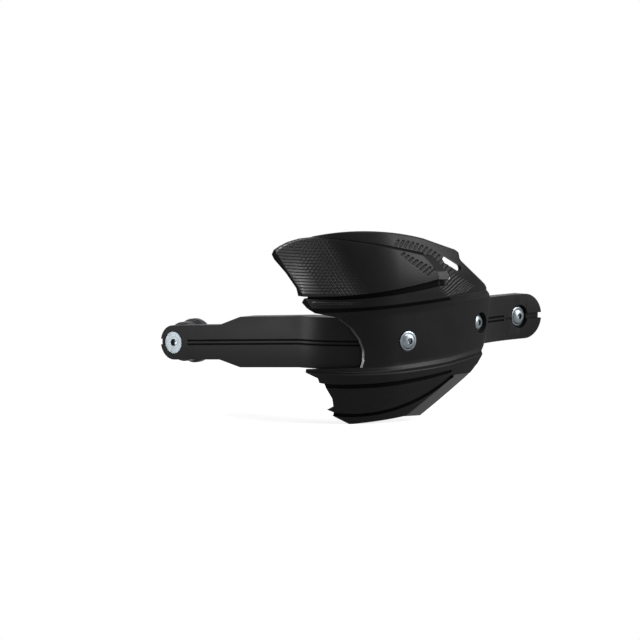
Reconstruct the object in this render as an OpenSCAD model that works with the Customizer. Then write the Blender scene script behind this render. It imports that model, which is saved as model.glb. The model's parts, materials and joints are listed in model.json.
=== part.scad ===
// Wrap-round motorcycle hand guard for the right-hand grip, in millimetres.
// Origin: centre of the handlebar's end. +X runs inboard along the handlebar, -Y is forward, +Z is up.

/* [Handlebar end] */
// Outer diameter of the spacer behind the bar's outer end
spacer_d = 28.4; // [24:0.2:30]
// Length of the spacer
spacer_len = 10; // [6:0.5:14]
// Outer diameter of the weight against the handlebar
weight_d = 32; // [28:0.5:35]
// Length of the weight
weight_len = 6; // [5:0.5:8]
// Outer diameter of the split expander sleeve
expander_d = 16; // [15:0.1:18]
// Length of the expander sleeve
expander_len = 38; // [30:1:44]

/* [Guard bar] */
// Distance from the end screw to the start of the bend
leg_len = 121; // [114:1:126]
// Radius of the bend on the outer face
bend_r = 56; // [52:1:58]
// Angle of the bend
bend_a = 72; // [68:1:76]
// Radius of the front's outward bow
bow_r = 190; // [180:5:210]
// Radius of the inward curve before the inner end
sweep_r = 168; // [150:1:190]
// Height of the outer end
end_h = 24.8; // [22:0.2:27]
// Height of the bar along its length
bar_h = 36; // [34:0.5:37]
// Height of the inner end
inner_h = 32.4; // [28:0.2:33]
// Depth of the ribbed length
bar_t = 16; // [15:0.5:18]
// Thickness of the plates at both ends
plate_t = 10; // [9:0.5:11]
// Thickness of the bar's walls and ribs
wall_t = 3.6; // [3:0.2:4]
// Depth of the twin groove along the outer face
groove_depth = 0.9; // [0.5:0.1:1.2]

/* [Wind shield] */
// Thickness of the wings
shield_t = 3; // [2.5:0.1:3.5]
// Height of the raised scale above the upper wing
scale_h = 2.6; // [1.8:0.1:3]
// Depth of the slots between the scales
slot_depth = 2; // [1.2:0.1:2.2]
// Depth of the grooves between the wing's ribs
rib_depth = 0.9; // [0.5:0.1:1.2]
// Number of comb grooves outside the raised scale's edge
comb_count = 14; // [8:1:15]

/* [Fasteners] */
// Shank diameter of the bar-end screw
end_shank = 8; // [7:0.5:8]
// Shank diameter of the shield and inner-end screws
shank = 6; // [5:0.5:6]
// Flange diameter of the button screws
flange_d = 13.6; // [12:0.2:14]

/* [Hidden] */
$fn = 64;

// Clearances and reach past a surface that a cut goes through
bore_gap = 0.25;
thread_gap = 0.05;
seat_gap = 0.3;
reach = 1;

// Heights of the bar's middle line: the bend, the inner shield screw and the inner end
mid_z = 8;
outer_screw_z = 9;
inner_screw_z = 17;
inner_z = 17.3;

// Outer face of the bar's outer leg
face_x = -(plate_t + spacer_len + weight_len);

// Plan path of the bar's outer face, as four stretches: leg, bend, bow and inward sweep
bow_a = 29;
sweep_a = 22.5;
function facing(a) = [-cos(a), -sin(a)];
function turned(p, r, a) = p + r * facing(a);
bend_c = [face_x + bend_r, -leg_len];
bow_c = turned(bend_c, bend_r - bow_r, bend_a);
sweep_c = turned(bow_c, bow_r + sweep_r, bend_a + bow_a);
bend_end = leg_len + bend_r * bend_a * PI / 180;
bow_end = bend_end + bow_r * bow_a * PI / 180;
path_end = bow_end + sweep_r * sweep_a * PI / 180;

function path_a(t) =
    t < leg_len ? 0
    : t < bend_end ? (t - leg_len) / bend_r * 180 / PI
    : t < bow_end ? bend_a + (t - bend_end) / bow_r * 180 / PI
    : bend_a + bow_a - (t - bow_end) / sweep_r * 180 / PI;
function path_p(t) =
    t < leg_len ? [face_x, -t]
    : t < bend_end ? turned(bend_c, bend_r, path_a(t))
    : t < bow_end ? turned(bow_c, bow_r, path_a(t))
    : turned(sweep_c, -sweep_r, path_a(t));

// Places of the screws along the path, from the ends of its arcs
outer_screw_in = 9;
inner_screw_in = 12.5;
end_screw_in = 22;
outer_screw_t = bend_end + outer_screw_in;
inner_screw_t = bow_end - inner_screw_in;
end_screw_t = path_end - end_screw_in;

// Local frame at a place on the path: X along it, Y up, Z out of the face
module at_path(t, z = 0) {
    p = path_p(t);
    translate([p.x, p.y, z])
        rotate([90, 0, path_a(t) - 90])
            children();
}

// Places along the path where its arcs are stepped
step_a = 2.5;
function steps(from_t, to_t, r) =
    let (n = ceil((to_t - from_t) / r * 180 / PI / step_a))
    [for (i = [1:n]) from_t + (to_t - from_t) * i / n];
bend_steps = steps(leg_len, bend_end, bend_r);
bow_steps = steps(bend_end, bow_end, bow_r);
sweep_steps = steps(bow_end, path_end, sweep_r);
function path_point(t, out) = path_p(t) + out * facing(path_a(t));

// Points of the arc from a through b to c
function arc_centre(a, b, c) =
    let (
        d = 2 * (a.x * (b.y - c.y) + b.x * (c.y - a.y) + c.x * (a.y - b.y)),
        x = (a * a) * (b.y - c.y) + (b * b) * (c.y - a.y) + (c * c) * (a.y - b.y),
        y = (a * a) * (c.x - b.x) + (b * b) * (a.x - c.x) + (c * c) * (b.x - a.x)
    ) [x, y] / d;
function arc(a, b, c, n) =
    let (
        o = arc_centre(a, b, c),
        a0 = atan2(a.y - o.y, a.x - o.x),
        a1 = atan2(c.y - o.y, c.x - o.x),
        turn = (a1 - a0 + 540) % 360 - 180,
        r = norm(a - o)
    ) [for (i = [0:n]) o + r * [cos(a0 + turn * i / n), sin(a0 + turn * i / n)]];
function reversed(points) = [for (i = [len(points) - 1:-1:0]) points[i]];

// Guard bar

// Side outline of the outer leg: distance along the leg against height
flare_from = 45;
flare_to = 65;
leg_slope = mid_z / leg_len;
past_bend = 40;
leg_reach = leg_len + bend_r + past_bend;
module leg_outline(inset = 0) {
    low = -bar_h / 2 + inset;
    end_low = -end_h / 2 + inset;
    polygon([
        [0, end_low],
        [flare_from, leg_slope * flare_from + end_low],
        [flare_to, leg_slope * flare_to + low],
        [leg_len, mid_z + low],
        [leg_reach, mid_z + low],
        [leg_reach, mid_z - low],
        [leg_len, mid_z - low],
        [flare_to, leg_slope * flare_to - low],
        [flare_from, leg_slope * flare_from - end_low],
        [0, -end_low]
    ]);
    circle(d = end_h - 2 * inset);
}

// Front outline of the rest: distance inboard against height
rise_from = 24;
rise_to = 100;
end_x = path_p(path_end).x;
round_x = end_x - inner_h / 2;
module front_outline(inset = 0) {
    low = -bar_h / 2 + inset;
    end_low = -inner_h / 2 + inset;
    polygon([
        [split_x, mid_z + low],
        [rise_from, mid_z + low],
        [rise_to, inner_z + end_low],
        [round_x, inner_z + end_low],
        [round_x, inner_z - end_low],
        [rise_to, inner_z - end_low],
        [rise_from, mid_z - low],
        [split_x, mid_z - low]
    ]);
    translate([round_x, inner_z])
        circle(d = inner_h - 2 * inset);
}

// Twin groove along the middle of the outer face
groove_w = 1.4;
groove_pitch = 2.7;
groove_from = 14;
groove_stop = 18;
groove_to_x = path_p(end_screw_t).x - groove_stop;
module leg_grooves() {
    for (side = [-1, 1]) {
        dz = side * groove_pitch / 2;
        polygon([
            [groove_from, leg_slope * groove_from + dz - groove_w / 2],
            [leg_len, mid_z + dz - groove_w / 2],
            [leg_reach, mid_z + dz - groove_w / 2],
            [leg_reach, mid_z + dz + groove_w / 2],
            [leg_len, mid_z + dz + groove_w / 2],
            [groove_from, leg_slope * groove_from + dz + groove_w / 2]
        ]);
    }
}
module front_grooves() {
    for (side = [-1, 1]) {
        dz = side * groove_pitch / 2;
        polygon([
            [split_x, mid_z + dz - groove_w / 2],
            [rise_from, mid_z + dz - groove_w / 2],
            [rise_to, inner_z + dz - groove_w / 2],
            [groove_to_x, inner_z + dz - groove_w / 2],
            [groove_to_x, inner_z + dz + groove_w / 2],
            [rise_to, inner_z + dz + groove_w / 2],
            [rise_from, mid_z + dz + groove_w / 2],
            [split_x, mid_z + dz + groove_w / 2]
        ]);
    }
}

// Solid between two depths behind the outer face: the first child cuts the leg and bend in
// side view, the second cuts the bow and inner end in front view
bar_steps = concat([-end_h, leg_len], bend_steps, bow_steps, sweep_steps);
split_x = 14;
module bar_band(back, front) {
    intersection() {
        translate([0, 0, -bar_h])
            linear_extrude(3 * bar_h)
                polygon(concat(
                    [for (t = bar_steps) path_point(t, -front)],
                    reversed([for (t = bar_steps) path_point(t, -back)])
                ));
        union() {
            translate([split_x + reach, 0, 0])
                rotate([90, 0, -90])
                    linear_extrude(split_x - face_x + 4 * reach)
                        children(0);
            rotate([90, 0, 0])
                linear_extrude(leg_reach + bend_r)
                    children(1);
        }
    }
}

// Ribs and bosses left standing in the pockets behind the bar
pocket_from = 56;
pocket_to_x = 116;
rib_from = 70;
rib_pitch = 21;
rib_lean = 24;
rib_t = wall_t - 1;
boss_d = 19;
module boss() {
    translate([0, 0, -bar_t - 2 * reach])
        rotate([0, 0, 22.5])
            cylinder(d = boss_d, h = bar_t, $fn = 8);
}
module bar_stiffeners() {
    for (i = [0:floor((bow_end - rib_from) / rib_pitch) - 1])
        at_path(rib_from + i * rib_pitch, mid_z)
            rotate([0, 0, i % 2 == 0 ? rib_lean : -rib_lean])
                translate([-rib_t / 2, -bar_h, -bar_t - 2 * reach])
                    cube([rib_t, 2 * bar_h, bar_t]);
    at_path(outer_screw_t, outer_screw_z)
        boss();
    at_path(inner_screw_t, inner_screw_z)
        boss();
}

// Hole for a bush with a round pocket for the nut behind it, and a seat in front
bush_d = 9;
washer_d = 12;
washer_t = 1.6;
nut_af = 10;
nut_t = 6;
nut_inset = 0.4;
pocket_d = 14.4;
stack_t = bar_t - washer_t - nut_t - nut_inset;
seat_t = 0.5;
outer_seat_d = 16;
cup_d = 19;
cup_depth = 3.6;
module shield_screw_hole(seat_d, depth) {
    translate([0, 0, -bar_t - reach])
        cylinder(d = bush_d, h = bar_t + 2 * reach);
    translate([0, 0, -bar_t - reach])
        cylinder(d = pocket_d, h = bar_t - stack_t + reach);
    translate([0, 0, -depth])
        cylinder(d = seat_d + 2 * bore_gap, h = depth + 2 * reach);
}

// Countersunk seat at the outer end and counterbored seat at the inner end
sink_d = 2 * end_shank;
sink_depth = (sink_d - end_shank) / 2;
sink_edge = 0.4;
end_bush_d = 12;
end_bush_gap = 0.2;
end_bush_len = plate_t - sink_depth - sink_edge - end_bush_gap;
bore_depth = 3;
counterbore_d = flange_d + 3.4;
notch_w = 4;
notch_depth = 1.6;
pocket_end_t = 8;
inner_plate_x = pocket_to_x + pocket_end_t;
module guard_bar() {
    color("#1c1c1c")
    difference() {
        bar_band(bar_t, 0) {
            leg_outline();
            front_outline();
        }
        // Both end plates are thinner than the ribbed length
        intersection() {
            bar_band(bar_t + reach, plate_t) {
                leg_outline(-reach);
                front_outline(-reach);
            }
            union() {
                translate([face_x - reach, -flare_from, -bar_h])
                    cube([3 * bar_t, flare_from + end_h, 3 * bar_h]);
                translate([inner_plate_x, -2 * leg_len, -bar_h])
                    cube([leg_len, 2 * leg_len, 3 * bar_h]);
            }
        }
        // Pockets between the ribs
        difference() {
            intersection() {
                bar_band(bar_t + reach, wall_t) {
                    leg_outline(wall_t);
                    front_outline(wall_t);
                }
                translate([face_x - reach, -2 * leg_len, -bar_h])
                    cube([pocket_to_x - face_x, 2 * leg_len - pocket_from, 3 * bar_h]);
            }
            bar_stiffeners();
        }
        bar_band(groove_depth, -reach) {
            leg_grooves();
            front_grooves();
        }
        at_path(0) {
            translate([0, 0, -sink_edge])
                cylinder(d = sink_d + 2 * bore_gap, h = 2 * reach);
            translate([0, 0, -sink_edge - sink_depth])
                cylinder(d1 = end_shank + 2 * bore_gap, d2 = sink_d + 2 * bore_gap, h = sink_depth);
            translate([0, 0, -plate_t - reach])
                cylinder(d = end_shank + 2 * bore_gap, h = plate_t);
            translate([0, 0, -plate_t - reach])
                cylinder(d = end_bush_d, h = end_bush_len + reach);
            translate([-end_h, -notch_w / 2, -notch_depth])
                cube([end_h - sink_d / 2, notch_w, 2 * notch_depth]);
        }
        at_path(outer_screw_t, outer_screw_z)
            shield_screw_hole(outer_seat_d, seat_t);
        at_path(inner_screw_t, inner_screw_z)
            shield_screw_hole(cup_d, cup_depth);
        at_path(end_screw_t, inner_z) {
            translate([0, 0, -bore_depth])
                cylinder(d = counterbore_d, h = bore_depth + reach);
            translate([0, 0, -plate_t - reach])
                cylinder(d = bush_d, h = plate_t + 2 * reach);
            translate([0, -notch_w / 2, -notch_depth])
                cube([inner_h, notch_w, 3 * notch_depth]);
            translate([-counterbore_d, -notch_w / 2, -notch_depth / 2])
                cube([counterbore_d / 2, notch_w / 2, notch_depth]);
        }
    }
}

// Wind shield: a skin laid over lengthwise lines. Each line is drawn square to the mould's
// draw direction, as widths from the bend's centre against heights from the bar's middle

draw_a = 41;
bow_shift = (bow_r - bend_r) * sin(bend_a - draw_a);
// Place along the path of a width at an offset from the bar's face
function path_t(w, out) =
    let (r = bend_r + out, edge = -r * sin(draw_a), a = w < edge ? 0 : draw_a + asin(min(w / r, 1)))
    w < edge ? leg_len + (w - edge) / cos(draw_a)
    : a < bend_a ? leg_len + bend_r * a * PI / 180
    : bend_end + bow_r * (draw_a - bend_a + asin((w + bow_shift) / (bow_r + out))) * PI / 180;
function drawn(w, out) = path_point(path_t(w, out), out);

// Offset of the wings' outer surface, which lean back above and below the band
band_out = 4;
wing_out = 8;
upper_r = 98;
lower_r = 91;
upper_from = 33;
lower_from = -22;
function upper_u(z) = wing_out - upper_r + sqrt(upper_r ^ 2 - max(z - upper_from, 0) ^ 2);
function lower_u(z) = wing_out - lower_r + sqrt(lower_r ^ 2 - max(lower_from - z, 0) ^ 2);
function wing_u(z) = z > 0 ? upper_u(z) : lower_u(z);

// Kinds of line: wing, band, fillet between them, raised scale and slot floor
fillet_out = 1;
fillet_in = 0.8;
WING = 0;
BAND = 1;
FILLET = 2;
SCALE = 3;
SLOT = 4;

// Lines from the lower edge to the upper: an arc through three points, then straight on to the
// inner edge
lines = [
    [WING, [-2, -56.2], [14, -54.6], [36, -51.8], [47.6, -52.4]],
    [WING, [-13.6, -50.2], [36, -45.2], [70, -27.4], [82, -26.6]],
    [SLOT, [-13.2, -49.8], [36, -44.8], [70, -26.8], [82.6, -26]],
    [SLOT, [-12.9, -48.2], [36, -43], [69.6, -25.6], [83.4, -25.2]],
    [WING, [-12.7, -47.8], [36, -42.6], [69.4, -25], [84, -24.6]],
    [WING, [-17.4, -46], [35, -40.4], [69.3, -24.8], [84.6, -24]],
    [WING, [-13.2, -43.6], [33, -38.4], [69.2, -24.6], [85.2, -23.4]],
    [WING, [-14, -38], [30, -35], [69, -24.2], [86, -22.4]],
    [WING, [-18.4, -30.4], [24, -29.8], [68, -23.6], [88, -20.2]],
    [SLOT, [-18.6, -30], [24, -29.4], [67.8, -23.2], [88.4, -19.8]],
    [SLOT, [-19.4, -28], [24, -27], [67.6, -21.9], [89, -19.2]],
    [WING, [-20, -27.6], [24, -26.6], [67.5, -21.5], [89.4, -18.8]],
    [WING, [-23, -27.2], [24, -26], [67.8, -21], [90, -17.8]],
    [WING, [-24, -24], [24, -23.4], [68.4, -19.4], [91.4, -15.6]],
    [WING, [-32.5, -20.4], [24, -21], [69, -17.6], [93, -13]],
    [FILLET, [-32.2, -18.6], [24, -18.6], [69, -15.2], [92.5, -10.8]],
    [BAND, [5.4, -16.4], [30, -15.8], [70, -12.5], [94, -8]],
    [BAND, [6.8, -12], [32, -10], [70, -6], [95.5, -3]],
    [BAND, [6.6, -4], [32, -2], [70, 2], [97, 6]],
    [BAND, [3.6, 3.5], [32, 6], [70, 11], [98, 14]],
    [BAND, [-2, 11], [30, 13], [70, 18], [99, 21]],
    [BAND, [-12, 18.4], [28, 20], [70, 24.4], [99, 26.5]],
    [FILLET, [-26, 20.9], [24, 24], [70, 27.6], [98, 29.5]],
    [WING, [-31.5, 24.4], [20, 26.6], [68, 30.2], [95.8, 32.4]],
    [WING, [-35, 28.2], [16, 29.4], [66, 34], [95.8, 34.2]],
    [WING, [-33.5, 31], [14, 32.2], [60.5, 38.2], [94.6, 36.6]],
    [SLOT, [-31, 31.5], [14, 32.6], [60.6, 38.8], [93.6, 37.6]],
    [SLOT, [-31.2, 32.2], [14, 35.4], [60.2, 43], [92.4, 38.9]],
    [SCALE, [-37.6, 32.7], [14, 35.8], [60, 43.4], [92, 39.4]],
    [SCALE, [-38.9, 38], [12, 41.4], [60, 46], [88, 43.4]],
    [SCALE, [-46.2, 48], [11, 49], [59, 48.6], [84, 47.4]],
    [SCALE, [-54.6, 57], [10, 56], [57.4, 50.4], [80.6, 50.8]],
    [SCALE, [-56.2, 60.1], [10, 58.6], [56.4, 52], [79.4, 52]],
    [SCALE, [-54.9, 63.2], [10, 61.2], [55.4, 53.6], [78.2, 53.2]],
    [SCALE, [-51.1, 66], [10, 63.6], [53.8, 55.4], [77, 54.4]],
    [SCALE, [-45.4, 69.1], [10, 65.6], [52, 57.2], [76.5, 55.2]],
    [SCALE, [-37.2, 71.9], [10, 67.4], [50.4, 58.8], [76, 55.9]],
    [SCALE, [-29, 73.2], [10, 69], [49, 60.2], [75.7, 56.5]],
    [WING, [-28, 73.5], [10, 69.6], [49.6, 60.8], [75.7, 57.2]],
    [WING, [-27.8, 73.7], [9, 73.8], [50, 66], [75, 60.5]],
    [WING, [-27.5, 73.8], [6.5, 77.7], [50, 71.3], [72.4, 62.5]]
];
arc_steps = 22;
tail_steps = 7;
last_step = arc_steps + tail_steps;
function line_points(l) = concat(
    arc(l[1], l[2], l[3], arc_steps),
    [for (i = [1:tail_steps]) l[3] + (l[4] - l[3]) * i / tail_steps]
);
// How much of a scale or slot is left at a step along its line: a scale's tail slopes down
fade_steps = 2;
function scale_part(j) = j == 0 ? 0 : j > arc_steps ? max(1 - (j - arc_steps) / fade_steps, 0) : 1;
function slot_part(j) = j > arc_steps ? 0 : 1;
function outer_u(kind, z, j) =
    kind == BAND ? band_out
    : kind == FILLET ? band_out + fillet_out
    : kind == SCALE ? wing_u(z) + scale_h * scale_part(j)
    : kind == SLOT ? wing_u(z) - slot_depth * slot_part(j)
    : wing_u(z);
function inner_u(kind, z) =
    kind == BAND ? seat_gap
    : kind == FILLET ? seat_gap + fillet_in
    : wing_u(z) - shield_t;

module shield_skin() {
    rows = len(lines);
    columns = last_step + 1;
    outer = [for (l = lines, q = [line_points(l)], j = [0:last_step])
        let (p = drawn(q[j].x, outer_u(l[0], q[j].y, j))) [p.x, p.y, mid_z + q[j].y]];
    inner = [for (l = lines, q = [line_points(l)], j = [0:last_step])
        let (p = drawn(q[j].x, inner_u(l[0], q[j].y))) [p.x, p.y, mid_z + q[j].y]];
    n = rows * columns;
    top = n - columns;
    skins = [for (i = [0:rows - 2], j = [0:last_step - 1])
        let (a = i * columns + j, b = a + 1, c = a + columns, d = c + 1)
        each [[a, c, b], [b, c, d], [n + a, n + b, n + c], [n + b, n + d, n + c]]];
    rims = [for (j = [0:last_step - 1])
        each [[j, j + 1, n + j], [j + 1, n + j + 1, n + j],
            [top + j, n + top + j, top + j + 1], [top + j + 1, n + top + j, n + top + j + 1]]];
    ends = [for (i = [0:rows - 2])
        let (a = i * columns, c = a + columns, b = a + last_step, d = c + last_step)
        each [[a, n + a, c], [c, n + a, n + c], [b, d, n + b], [d, n + d, n + b]]];
    polyhedron(concat(outer, inner), concat(skins, rims, ends), convexity = 8);
}

// Long round-ended opening beside the wing's inner edge
vent_t = 239;
vent_z = 61;
vent_len = 19;
vent_w = 5;
vent_lean = -28;
module vent() {
    at_path(vent_t, vent_z)
        rotate([0, 0, vent_lean])
            translate([0, 0, -wing_out]) {
                translate([-(vent_len - vent_w) / 2, -vent_w / 2, 0])
                    cube([vent_len - vent_w, vent_w, 3 * wing_out]);
                for (x = [-1, 1])
                    translate([x * (vent_len - vent_w) / 2, 0, 0])
                        cylinder(d = vent_w, h = 3 * wing_out);
            }
}

// Groove of a depth from one place to another on the upper wing, at a rise above its surface
module groove(from, to, width, depth, rise = 0) {
    middle = (from + to) / 2;
    u = upper_u(middle.y) + rise;
    run = (path_t(to.x, u) - path_t(from.x, u)) * (1 + u / bow_r);
    climb = to.y - from.y;
    length = norm([run, climb]);
    at_path(path_t(middle.x, u), mid_z + middle.y)
        translate([0, 0, u])
            rotate([-asin(max(middle.y - upper_from, 0) / upper_r), 0, 0])
                rotate([0, 0, atan2(climb, run)])
                    translate([-length / 2, -width / 2, -depth])
                        cube([length, width, depth + 2 * scale_h]);
}

// Comb of short grooves outside the scale's edge, a second one on the scale beside it, and long
// slanting grooves between the scale's tip and the inner edge
comb_line = [[30.8, 69.3], [52, 62.9], [69.4, 48.2]];
comb_lean = [56, 38];
comb_len = 5.4;
comb_w = 1.4;
second_from = [35, 61.6];
second_to = [55.2, 48.2];
second_count = 8;
second_len = [3.4, 7.5];
slants = [
    [[60.2, 36.9], [72.3, 46.5]],
    [[64.1, 30.6], [82.9, 41.7]],
    [[77.8, 33.3], [87.5, 37]]
];
slants_between = 4;
slant_w = 0.8;
slant_depth = 0.7 * rib_depth;
module ribs() {
    points = arc(comb_line[0], comb_line[1], comb_line[2], comb_count - 1);
    for (i = [0:comb_count - 1]) {
        lean = comb_lean[0] + (comb_lean[1] - comb_lean[0]) * i / (comb_count - 1);
        half = comb_len / 2 * [cos(lean), sin(lean)];
        groove(points[i] - half, points[i] + half, comb_w, rib_depth);
    }
    for (i = [0:second_count - 1]) {
        f = i / (second_count - 1);
        middle = second_from + (second_to - second_from) * f;
        length = second_len[0] + (second_len[1] - second_len[0]) * f;
        half = length / 2 * [cos(comb_lean[1]), sin(comb_lean[1])];
        groove(middle - half, middle + half, comb_w, rib_depth, scale_h);
    }
    for (i = [0:2 * slants_between]) {
        part = min(floor(i / slants_between), 1);
        line = slants[part] + (slants[part + 1] - slants[part]) * (i / slants_between - part);
        groove(line[0], line[1], slant_w, slant_depth);
    }
}

// Seats of the shield's two screws, on bosses that reach the bar
head_seat = 3.6;
cup_floor = 3;
boss_below = 1;
module wind_shield() {
    color("#262626")
    difference() {
        union() {
            shield_skin();
            at_path(outer_screw_t, outer_screw_z)
                translate([0, 0, -seat_t])
                    cylinder(d = outer_seat_d, h = band_out);
            at_path(inner_screw_t, inner_screw_z)
                translate([0, 0, -cup_depth])
                    cylinder(d = cup_d, h = cup_depth + band_out - boss_below);
        }
        vent();
        ribs();
        at_path(outer_screw_t, outer_screw_z) {
            translate([0, 0, head_seat])
                cylinder(d = flange_d + 2 * bore_gap, h = wing_out);
            translate([0, 0, -reach])
                cylinder(d = shank + 2 * bore_gap, h = wing_out);
        }
        at_path(inner_screw_t, inner_screw_z) {
            translate([0, 0, cup_floor - cup_depth])
                cylinder(d = flange_d + 4 * bore_gap, h = 2 * wing_out);
            translate([0, 0, -cup_depth - reach])
                cylinder(d = shank + 2 * bore_gap, h = wing_out);
        }
    }
}

// Fasteners at the handlebar's end, all on the end's axis

zinc = "#9fa4ab";
steel = "#85888d";
end_screw_len = 75;
end_socket_af = 5;
end_socket_depth = 3;
tip = 0.8;
module bar_end_screw() {
    color(zinc)
    at_path(0)
    difference() {
        union() {
            translate([0, 0, -sink_edge])
                cylinder(d = sink_d, h = sink_edge);
            translate([0, 0, -sink_edge - sink_depth])
                cylinder(d1 = end_shank, d2 = sink_d, h = sink_depth);
            translate([0, 0, -end_screw_len + tip])
                cylinder(d = end_shank, h = end_screw_len - sink_edge - sink_depth - tip);
            translate([0, 0, -end_screw_len])
                cylinder(d1 = end_shank - 2 * tip, d2 = end_shank, h = tip);
        }
        translate([0, 0, -end_socket_depth])
            cylinder(d = end_socket_af / cos(30), h = end_socket_depth + reach, $fn = 6);
    }
}

// Round tube along the local Z axis, its front face at the height given
module tube(d, bore, from, length) {
    translate([0, 0, from - length])
        difference() {
            cylinder(d = d, h = length);
            translate([0, 0, -reach])
                cylinder(d = bore, h = length + 2 * reach);
        }
}

end_bore = end_shank + 2 * bore_gap;
module bar_end_bush() {
    color(steel)
    at_path(0)
        tube(end_bush_d, end_bore, end_bush_len - plate_t, end_bush_len);
}

module bar_end_spacer() {
    color("#1f2022")
    at_path(0)
        tube(spacer_d, end_bore, -plate_t, spacer_len);
}

weight_edge = 1;
module bar_end_weight() {
    color("#1f2022")
    at_path(0)
    translate([0, 0, face_x])
    difference() {
        union() {
            cylinder(d1 = weight_d - 2 * weight_edge, d2 = weight_d, h = weight_edge);
            translate([0, 0, weight_edge])
                cylinder(d = weight_d, h = weight_len - 2 * weight_edge);
            translate([0, 0, weight_len - weight_edge])
                cylinder(d1 = weight_d, d2 = weight_d - 2 * weight_edge, h = weight_edge);
        }
        translate([0, 0, -reach])
            cylinder(d = end_bore, h = weight_len + 2 * reach);
    }
}

// Sleeve in three parts joined at its outer end, spread by the cone at its inner end
cone_len = 10;
cone_in = 5;
cone_gap = 0.1;
cone_out_d = expander_d - 0.6;
cone_in_d = expander_d - 5;
slit_w = 1.6;
slit_from = 9;
expander_bore = end_shank + 1;
module expander_sleeve() {
    color(steel)
    rotate([0, 90, 0])
    difference() {
        cylinder(d = expander_d, h = expander_len);
        translate([0, 0, -reach])
            cylinder(d = expander_bore, h = expander_len + 2 * reach);
        translate([0, 0, expander_len - cone_in])
            cylinder(d1 = cone_in_d + 2 * cone_gap, h = cone_len,
                d2 = cone_in_d + 2 * cone_gap + (cone_out_d - cone_in_d));
        for (i = [0:2])
            rotate([0, 0, i * 120])
                translate([0, -slit_w / 2, slit_from])
                    cube([expander_d, slit_w, expander_len]);
    }
}

cone_tail = 4;
module expander_cone_nut() {
    color(steel)
    translate([expander_len - cone_in, 0, 0])
    rotate([0, 90, 0])
    difference() {
        union() {
            cylinder(d1 = cone_in_d, d2 = cone_out_d, h = cone_len);
            translate([0, 0, cone_len])
                cylinder(d = cone_out_d, h = cone_tail);
        }
        translate([0, 0, -reach])
            cylinder(d = end_shank + 2 * thread_gap, h = cone_len + cone_tail + 2 * reach);
    }
}

// Flanged button screw, its seat at the height given. Its thread is plain and slack; the part
// without thread below the head is a neck, thinner than the thread, as rolling leaves it
flange_t = 1.2;
button_h = 3.3;
button_d = flange_d - 2.4;
button_top_d = 6.4;
button_r = 8;
socket_af = 4;
socket_depth = 2;
neck_d = shank - 0.8;
module button_screw(seat, length, neck_len = 1) {
    difference() {
        union() {
            translate([0, 0, seat])
                cylinder(d = flange_d, h = flange_t);
            intersection() {
                translate([0, 0, seat])
                    cylinder(d = button_d, h = button_h);
                translate([0, 0, seat + button_h - sqrt(button_r ^ 2 - (button_top_d / 2) ^ 2)])
                    sphere(r = button_r);
            }
            translate([0, 0, seat - neck_len - tip])
                cylinder(d = neck_d, h = neck_len + tip + flange_t / 2);
            translate([0, 0, seat - length + tip])
                cylinder(d = shank - 2 * thread_gap, h = length - tip - neck_len);
            translate([0, 0, seat - length])
                cylinder(d1 = shank - 2 * tip, d2 = shank - 2 * thread_gap, h = tip);
        }
        translate([0, 0, seat + button_h - socket_depth])
            cylinder(d = socket_af / cos(30), h = socket_depth + reach, $fn = 6);
    }
}

nut_edge = 0.15;
module nut(from) {
    difference() {
        intersection() {
            translate([0, 0, from - nut_t])
                cylinder(d = nut_af / cos(30), h = nut_t, $fn = 6);
            translate([0, 0, from - nut_t / 2])
                sphere(r = norm([nut_af / 2, nut_t / 2]) + nut_edge);
        }
        translate([0, 0, from - nut_t - reach])
            cylinder(d = shank, h = nut_t + 2 * reach);
    }
}

// Screws, bushes, washers and nuts of the shield
bush_gap = 0.2;
bush_bore = shank + 2 * bush_gap;
outer_screw_len = 20;
inner_screw_len = 16;
module shield_screw_outer() {
    color(zinc)
    at_path(outer_screw_t, outer_screw_z)
        button_screw(head_seat, outer_screw_len);
}
module shield_bush_outer() {
    color(steel)
    at_path(outer_screw_t, outer_screw_z)
        tube(bush_d, bush_bore, -seat_t, stack_t - seat_t);
}
module shield_washer_outer() {
    color(steel)
    at_path(outer_screw_t, outer_screw_z)
        tube(washer_d, bush_bore, -stack_t, washer_t);
}
module shield_nut_outer() {
    color(steel)
    at_path(outer_screw_t, outer_screw_z)
        nut(-stack_t - washer_t);
}
module shield_screw_inner() {
    color(zinc)
    at_path(inner_screw_t, inner_screw_z)
        button_screw(cup_floor - cup_depth, inner_screw_len);
}
module shield_bush_inner() {
    color(steel)
    at_path(inner_screw_t, inner_screw_z)
        tube(bush_d, bush_bore, -cup_depth, stack_t - cup_depth);
}
module shield_washer_inner() {
    color(steel)
    at_path(inner_screw_t, inner_screw_z)
        tube(washer_d, bush_bore, -stack_t, washer_t);
}
module shield_nut_inner() {
    color(steel)
    at_path(inner_screw_t, inner_screw_z)
        nut(-stack_t - washer_t);
}

// Screw, bush and tapered spacer at the inner end
inner_screw_reach = 35;
inner_spacer_len = 10;
inner_spacer_d = 16;
module inner_end_screw() {
    color(zinc)
    at_path(end_screw_t, inner_z)
        button_screw(-bore_depth, inner_screw_reach, plate_t - bore_depth + inner_spacer_len);
}
module inner_end_bush() {
    color(steel)
    at_path(end_screw_t, inner_z)
        tube(bush_d, bush_bore, -bore_depth, plate_t - bore_depth);
}
module inner_end_spacer() {
    color("#1f2022")
    at_path(end_screw_t, inner_z)
    translate([0, 0, -plate_t - inner_spacer_len])
    difference() {
        cylinder(d1 = washer_d, d2 = inner_spacer_d, h = inner_spacer_len);
        translate([0, 0, -reach])
            cylinder(d = bush_bore, h = inner_spacer_len + 2 * reach);
    }
}

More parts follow.
